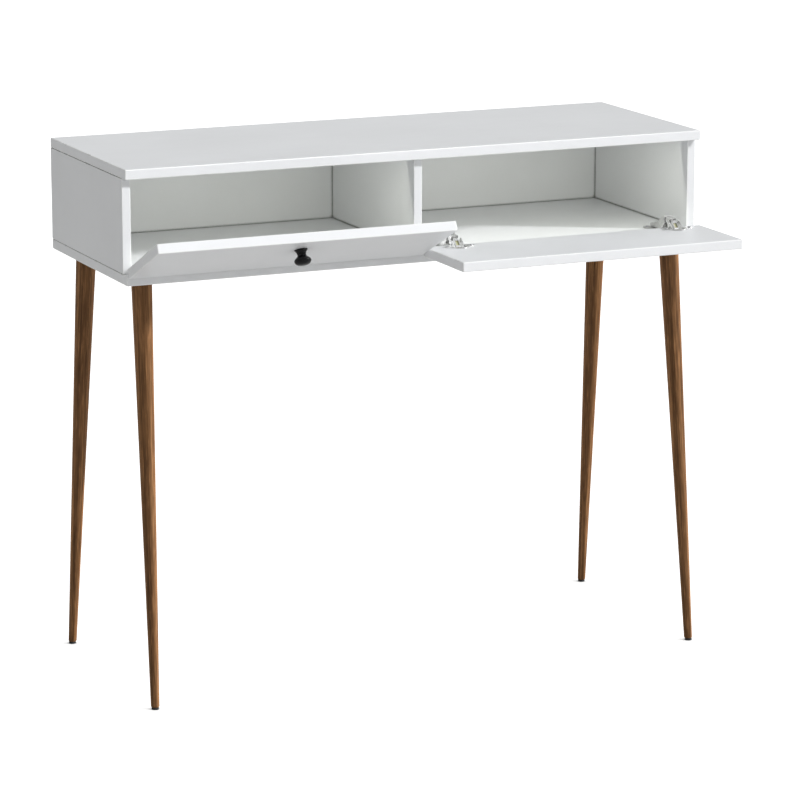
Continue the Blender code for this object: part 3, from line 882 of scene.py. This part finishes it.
for key in ("L1", "L2", "R1", "R2"):
    side = "left" if key[0] == "L" else "right"
    tag = f"hinge_{key}"
    flap_body, link_body = f"flap_{side}_body", f"links_{side}"
    a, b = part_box(f"{tag}_arm")
    across = Matrix.Translation(((a.x + b.x) / 2, 0, 0))
    on_flap = hinge_frame(side) @ across
    on_link = hinge_frame(side, 0.5) @ across
    on_cabinet = Matrix.Translation(AXIS) @ across

    # Cup: pressed bowl with a rolled rim, a flange with wings, and a cheek to each side of the knuckle.
    bm = bmesh.new()
    rod_into(bm, (0, (FLAP_IN - CUP_DEPTH) * MM, CUP_Z * MM), (0, (FLAP_IN + 1.4) * MM, CUP_Z * MM), 17.4 * MM, sides=64)
    cup = new_object(f"{tag}_cup_pressed", bm, NICKEL, flap_body, [f"{tag}_cup"], on_flap)
    bm = bmesh.new()
    rim = [bm.verts.new((x * MM, (FLAP_IN + 0.35) * MM, (CUP_Z + z) * MM)) for x, z in flange_outline()]
    base = bm.faces.new(rim)
    grown = bmesh.ops.extrude_face_region(bm, geom=[base])
    bmesh.ops.translate(
        bm, verts=[v for v in grown["geom"] if isinstance(v, bmesh.types.BMVert)], vec=(0, 1.1 * MM, 0)
    )
    tool = cutter(bm, on_flap)
    mod = cup.modifiers.new("Boolean", "BOOLEAN")
    mod.object, mod.operation, mod.solver = tool, "UNION", "EXACT"
    apply_all(cup)
    bpy.data.objects.remove(tool, do_unlink=True)
    bm = bmesh.new()
    cube_into(
        bm,
        (-11.4 * MM, (FLAP_IN - CUP_DEPTH + 1.3) * MM, (CUP_Z - 30) * MM),
        (11.4 * MM, (FLAP_IN + 8) * MM, (CUP_Z + 12.4) * MM),
    )
    edges = [e for e in bm.edges if all(v.co.z > CUP_Z * MM for v in e.verts) and abs(e.verts[0].co.x - e.verts[1].co.x) < 1e-6]
    bmesh.ops.bevel(bm, geom=edges, offset=4 * MM, segments=5, profile=0.5, affect="EDGES")
    cut(cup, cutter(bm, on_flap))
    bm = bmesh.new()
    for sx in (-1, 1):
        at = (sx * WING * MM, (FLAP_IN - 3) * MM, CUP_Z * MM)
        rod_into(bm, at, (at[0], (FLAP_IN + 5) * MM, at[2]), 1.9 * MM, sides=24)
    cut(cup, cutter(bm, on_flap))
    round_off(cup, 0.32, 2)

    cheek = (
        [(6.8, 25.0)]
        + arc(22.4, 52, 27, 5)
        + arc(25.6, 22, 20.6, 1)
        + arc(30.4, 20.6, 22, 1)
        + arc(32.2, 26, 58, 7)
        + [(12.5, 33.5), (6.8, 33.5)]
    )
    ears = new_object(
        f"{tag}_cup_cheeks",
        join(prism(cheek, -10.9, -9.6), prism(cheek, 9.6, 10.9)),
        NICKEL,
        flap_body,
        [],
        on_flap,
    )
    round_off(ears, 0.3, 2)

    # Knuckle: a nylon block held in a steel yoke with a cap.
    well = FLAP_IN - CUP_DEPTH + 1.4 + 0.3
    full = [(well, 22.0)] + arc(23.6, 58, 14.5, 9) + arc(31.0, 11.4, 60, 13) + [(10.5, 31.2), (well, 32.0)]
    block = [(well + 0.6, 24.0)] + arc(24.6, 56, 17, 8) + arc(29.2, 15, 57, 10) + [(well + 0.6, 30.0)]
    yoke = join(
        prism(full, -4.45, -3.3),
        prism(full, 3.3, 4.45),
        prism(arc(30.95, 11.8, 36, 8) + arc(29.5, 36, 11.8, 8), -3.31, 3.31),
        prism(arc(30.95, 55, 61, 3) + arc(27.0, 61, 55, 3), -3.31, 3.31),
    )
    piece = new_object(
        f"{tag}_knuckle_yoke", yoke, NICKEL, flap_body, [f"{tag}_knuckle"], on_flap
    )
    round_off(piece, 0.22, 2)
    piece = new_object(
        f"{tag}_knuckle_block", prism(block, -3.2, 3.2), NYLON, flap_body, [], on_flap
    )
    round_off(piece, 0.5, 3)
    bm = bmesh.new()
    c = arc(27.2, 46, 46, 1)[0]
    for sx in (-1, 1):
        rod_into(bm, (sx * 4.3 * MM, c[0] * MM, c[1] * MM), (sx * 4.75 * MM, c[0] * MM, c[1] * MM), 1.9 * MM, 1.5 * MM, sides=24)
        rod_into(bm, (sx * 10.8 * MM, c[0] * MM, c[1] * MM), (sx * 11.35 * MM, c[0] * MM, c[1] * MM), 2.2 * MM, 1.6 * MM, sides=24)
    pin = new_object(f"{tag}_knuckle_pins", bm, ZINC, flap_body, [], on_flap)
    soften(pin, 40.0)

    # Link: a curved channel.
    link = new_object(
        f"{tag}_link_pressed",
        prism(arc(33.4, 25, 63, 14) + arc(24.0, 63, 25, 12), -6.5, 6.5),
        NICKEL,
        link_body,
        [f"{tag}_link"],
        on_link,
    )
    cut(link, cutter(prism(arc(31.6, 15, 73, 18) + arc(18.0, 73, 15, 8), -5.1, 5.1), on_link))
    bm = bmesh.new()
    c = arc(32.5, 44, 44, 1)[0]
    a1 = (0, c[0] * 0.9 * MM, c[1] * 0.9 * MM)
    a2 = (0, c[0] * 1.1 * MM, c[1] * 1.1 * MM)
    rod_into(bm, a1, a2, 1.7 * MM, sides=24)
    cut(link, cutter(bm, on_link))
    round_off(link, 0.3, 2)

    # Arm: a pressed channel with a curved nose, a slot for the fixing screw and an adjusting screw.
    outline = (
        [(7.3, 23.0)]
        + arc(36.0, 78.2, 33, 14)
        + [(32.8, 17.9), (36.5, 15.75), (48, 15.15), (58.5, 14.6), (60.6, 13.9), (62, 12.7), (62, 8.4), (26, 8.4), (14, 15)]
    )
    inner = [(-6.0, -10.0)] + arc(34.0, 100, 33, 18) + [(35.8, 14.0), (60.2, 12.8), (60.2, -10.0)]
    arm = new_object(f"{tag}_arm_pressed", prism(outline, -8.9, 8.9), SATIN, ROOT, [f"{tag}_arm"], on_cabinet)
    cut(arm, cutter(prism(inner, -7.1, 7.1), on_cabinet))
    bm = bmesh.new()
    cube_into(bm, (-2.2 * MM, 50 * MM, 10 * MM), (2.2 * MM, 59 * MM, 20 * MM))
    edges = [e for e in bm.edges if abs(e.verts[0].co.z - e.verts[1].co.z) > 5 * MM]
    bmesh.ops.bevel(bm, geom=edges, offset=2.15 * MM, segments=6, profile=0.5, affect="EDGES")
    cut(arm, cutter(bm, on_cabinet))
    bm = bmesh.new()
    rod_into(bm, (0, 42 * MM, 10 * MM), (0, 42 * MM, 20 * MM), 2.9 * MM, sides=32)
    cut(arm, cutter(bm, on_cabinet))
    round_off(arm, 0.55, 3)
    adjuster = bpy.data.objects.new(f"{tag}_arm_adjuster", SET_SCREW)
    scene.collection.objects.link(adjuster)
    adjuster.matrix_world = on_cabinet @ Matrix.Translation((0, 42 * MM, 12.7 * MM))
    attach(adjuster, ROOT)

    # Mounting plate with its rib.
    a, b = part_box(f"{tag}_plate")
    mid = (a + b) / 2
    plate_mid = b.y - 8 * MM
    bm = bmesh.new()
    cube_into(bm, (mid.x - 22.9 * MM, plate_mid - 7.9 * MM, a.z), (mid.x + 22.9 * MM, plate_mid + 7.9 * MM, a.z + 2.1 * MM))
    edges = [e for e in bm.edges if abs(e.verts[0].co.z - e.verts[1].co.z) > 1 * MM]
    bmesh.ops.bevel(bm, geom=edges, offset=4.5 * MM, segments=6, profile=0.5, affect="EDGES")
    base = new_object(f"{tag}_plate_cast", bm, SATIN, ROOT, [f"{tag}_plate"])
    bm = bmesh.new()
    cube_into(bm, (mid.x - 5.7 * MM, a.y + 0.05 * MM, a.z), (mid.x + 5.7 * MM, plate_mid + 1 * MM, b.z - 0.05 * MM))
    tool = cutter(bm)
    mod = base.modifiers.new("Boolean", "BOOLEAN")
    mod.object, mod.operation, mod.solver = tool, "UNION", "EXACT"
    apply_all(base)
    bpy.data.objects.remove(tool, do_unlink=True)
    bm = bmesh.new()
    screws = drop(f"{tag}_plate_screw_a", f"{tag}_plate_screw_b")
    for p in screws:
        rod_into(bm, (p.x, p.y, a.z - 1 * MM), (p.x, p.y, a.z + 5 * MM), 1.9 * MM, sides=24)
    cut(base, cutter(bm))
    round_off(base, 0.35, 2)

    for end, p in zip("ab", screws):
        put_screw(
            f"{tag}_plate_screw_{end}",
            PLATE_SCREW,
            Matrix.Translation((p.x, p.y, a.z - 0.3 * MM)),
            ROOT,
        )
    for end, sx in (("a", -1), ("b", 1)):
        put_screw(
            f"{tag}_cup_screw_{end}",
            CUP_SCREW,
            on_flap
            @ Matrix.Translation((sx * WING * MM, FLAP_IN * MM, CUP_Z * MM))
            @ Matrix.Rotation(math.radians(-90), 4, "X"),
            flap_body,
        )

# ---------------------------------------------------------------- floor, light, camera

bm = bmesh.new()
bmesh.ops.create_grid(bm, x_segments=8, y_segments=8, size=60)
mesh = bpy.data.meshes.new("floor")
bm.to_mesh(mesh)
bm.free()
floor = bpy.data.objects.new("floor", mesh)
scene.collection.objects.link(floor)
mesh.materials.append(floor_material())

world = bpy.data.worlds.new("studio")
scene.world = world
world.use_nodes = True
back = world.node_tree.nodes["Background"]
back.inputs["Color"].default_value = (1.0, 1.0, 0.975, 1.0)
# The room is a little darker to the left.
nodes, links = world.node_tree.nodes, world.node_tree.links
place = nodes.new("ShaderNodeTexCoord")
split = nodes.new("ShaderNodeSeparateXYZ")
side_ramp = nodes.new("ShaderNodeMapRange")
side_ramp.inputs["From Min"].default_value = -1.0
side_ramp.inputs["From Max"].default_value = 1.0
side_ramp.inputs["To Min"].default_value = 0.62 * SKY
side_ramp.inputs["To Max"].default_value = 1.38 * SKY
links.new(place.outputs["Generated"], split.inputs[0])
links.new(split.outputs["X"], side_ramp.inputs["Value"])
links.new(side_ramp.outputs["Result"], back.inputs["Strength"])


def softbox(name, azimuth, elevation, spread, power, colour):
    """A far, wide light. Azimuth is measured from the front (-Y) towards the right (+X)."""
    light = bpy.data.lights.new(name, "SUN")
    light.energy = power
    light.angle = math.radians(spread)
    light.color = colour
    obj = bpy.data.objects.new(name, light)
    scene.collection.objects.link(obj)
    a, e = math.radians(azimuth), math.radians(elevation)
    towards = Vector((math.sin(a) * math.cos(e), -math.cos(a) * math.cos(e), math.sin(e)))
    obj.rotation_euler = (-towards).to_track_quat("-Z", "Y").to_euler()
    return obj


def light_only(lamp, names, state):
    """The lamp lights only these pieces, or everything but them."""
    group = bpy.data.collections.new(f"lit_by_{lamp.name}")
    for name in names:
        group.objects.link(bpy.data.objects[name])
    lamp.light_linking.receiver_collection = group
    for entry in group.collection_objects:
        entry.light_linking.link_state = state


# The low key would burn out the right end, so the top and the right side get a flatter one from nearer the front.
key = softbox("key", 61, 22, 5, KEY, (0.985, 0.990, 1.0))
flat = softbox("key_flat", 25, 36, 8, 0.62 * KEY, (0.985, 0.990, 1.0))
FLAT = ("top_panel_board", "side_panel_right_board")
light_only(key, FLAT, "EXCLUDE")
light_only(flat, FLAT, "INCLUDE")
softbox("overhead", 10, 80, 100, OVER, (0.88, 0.92, 1.0))
softbox("fill", 12, 8, 100, FILL, (1.0, 1.0, 0.995))

# A soft panel of light in the mouth of each bay, which opens onto the bay only.
for side, x0, x1 in (("left", "side_panel_left", "divider_panel"), ("right", "divider_panel", "side_panel_right")):
    low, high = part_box(x0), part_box(x1)
    left_x, right_x = low[1].x, high[0].x
    light = bpy.data.lights.new(f"bay_{side}", "AREA")
    light.shape = "RECTANGLE"
    light.size, light.size_y = right_x - left_x - 8 * MM, high[1].z - high[0].z - 8 * MM
    light.energy = BAY * math.pi * light.size * light.size_y
    light.color = (0.985, 1.0, 0.875)
    light.spread = math.radians(150)
    obj = bpy.data.objects.new(f"bay_{side}", light)
    scene.collection.objects.link(obj)
    obj.location = ((left_x + right_x) / 2, high[0].y + 3 * MM, (high[0].z + high[1].z) / 2)
    obj.rotation_euler = (math.radians(73), 0, 0)
    obj.visible_camera = False
    obj.visible_glossy = False

# The camera: a long lens from the front left, a little above the top.
VIEW_F = 3721.4811
VIEW_TILT = 0.2236
VIEW_TURN = 0.4172
VIEW_AT = Vector((-2127.9177 - 560, -5965.5057 - 124.77, 1031.7213 + 960)) * MM
cam = bpy.data.cameras.new("camera")
cam.sensor_width = 36.0
cam.lens = VIEW_F * 36.0 / 800.0
cam.clip_start, cam.clip_end = 0.1, 200.0
camera = bpy.data.objects.new("camera", cam)
scene.collection.objects.link(camera)
camera.location = VIEW_AT
camera.rotation_euler = (math.pi / 2 - VIEW_TILT, 0.0, -VIEW_TURN)
scene.camera = camera

scene.view_settings.view_transform = "Standard"
scene.view_settings.look = "None"
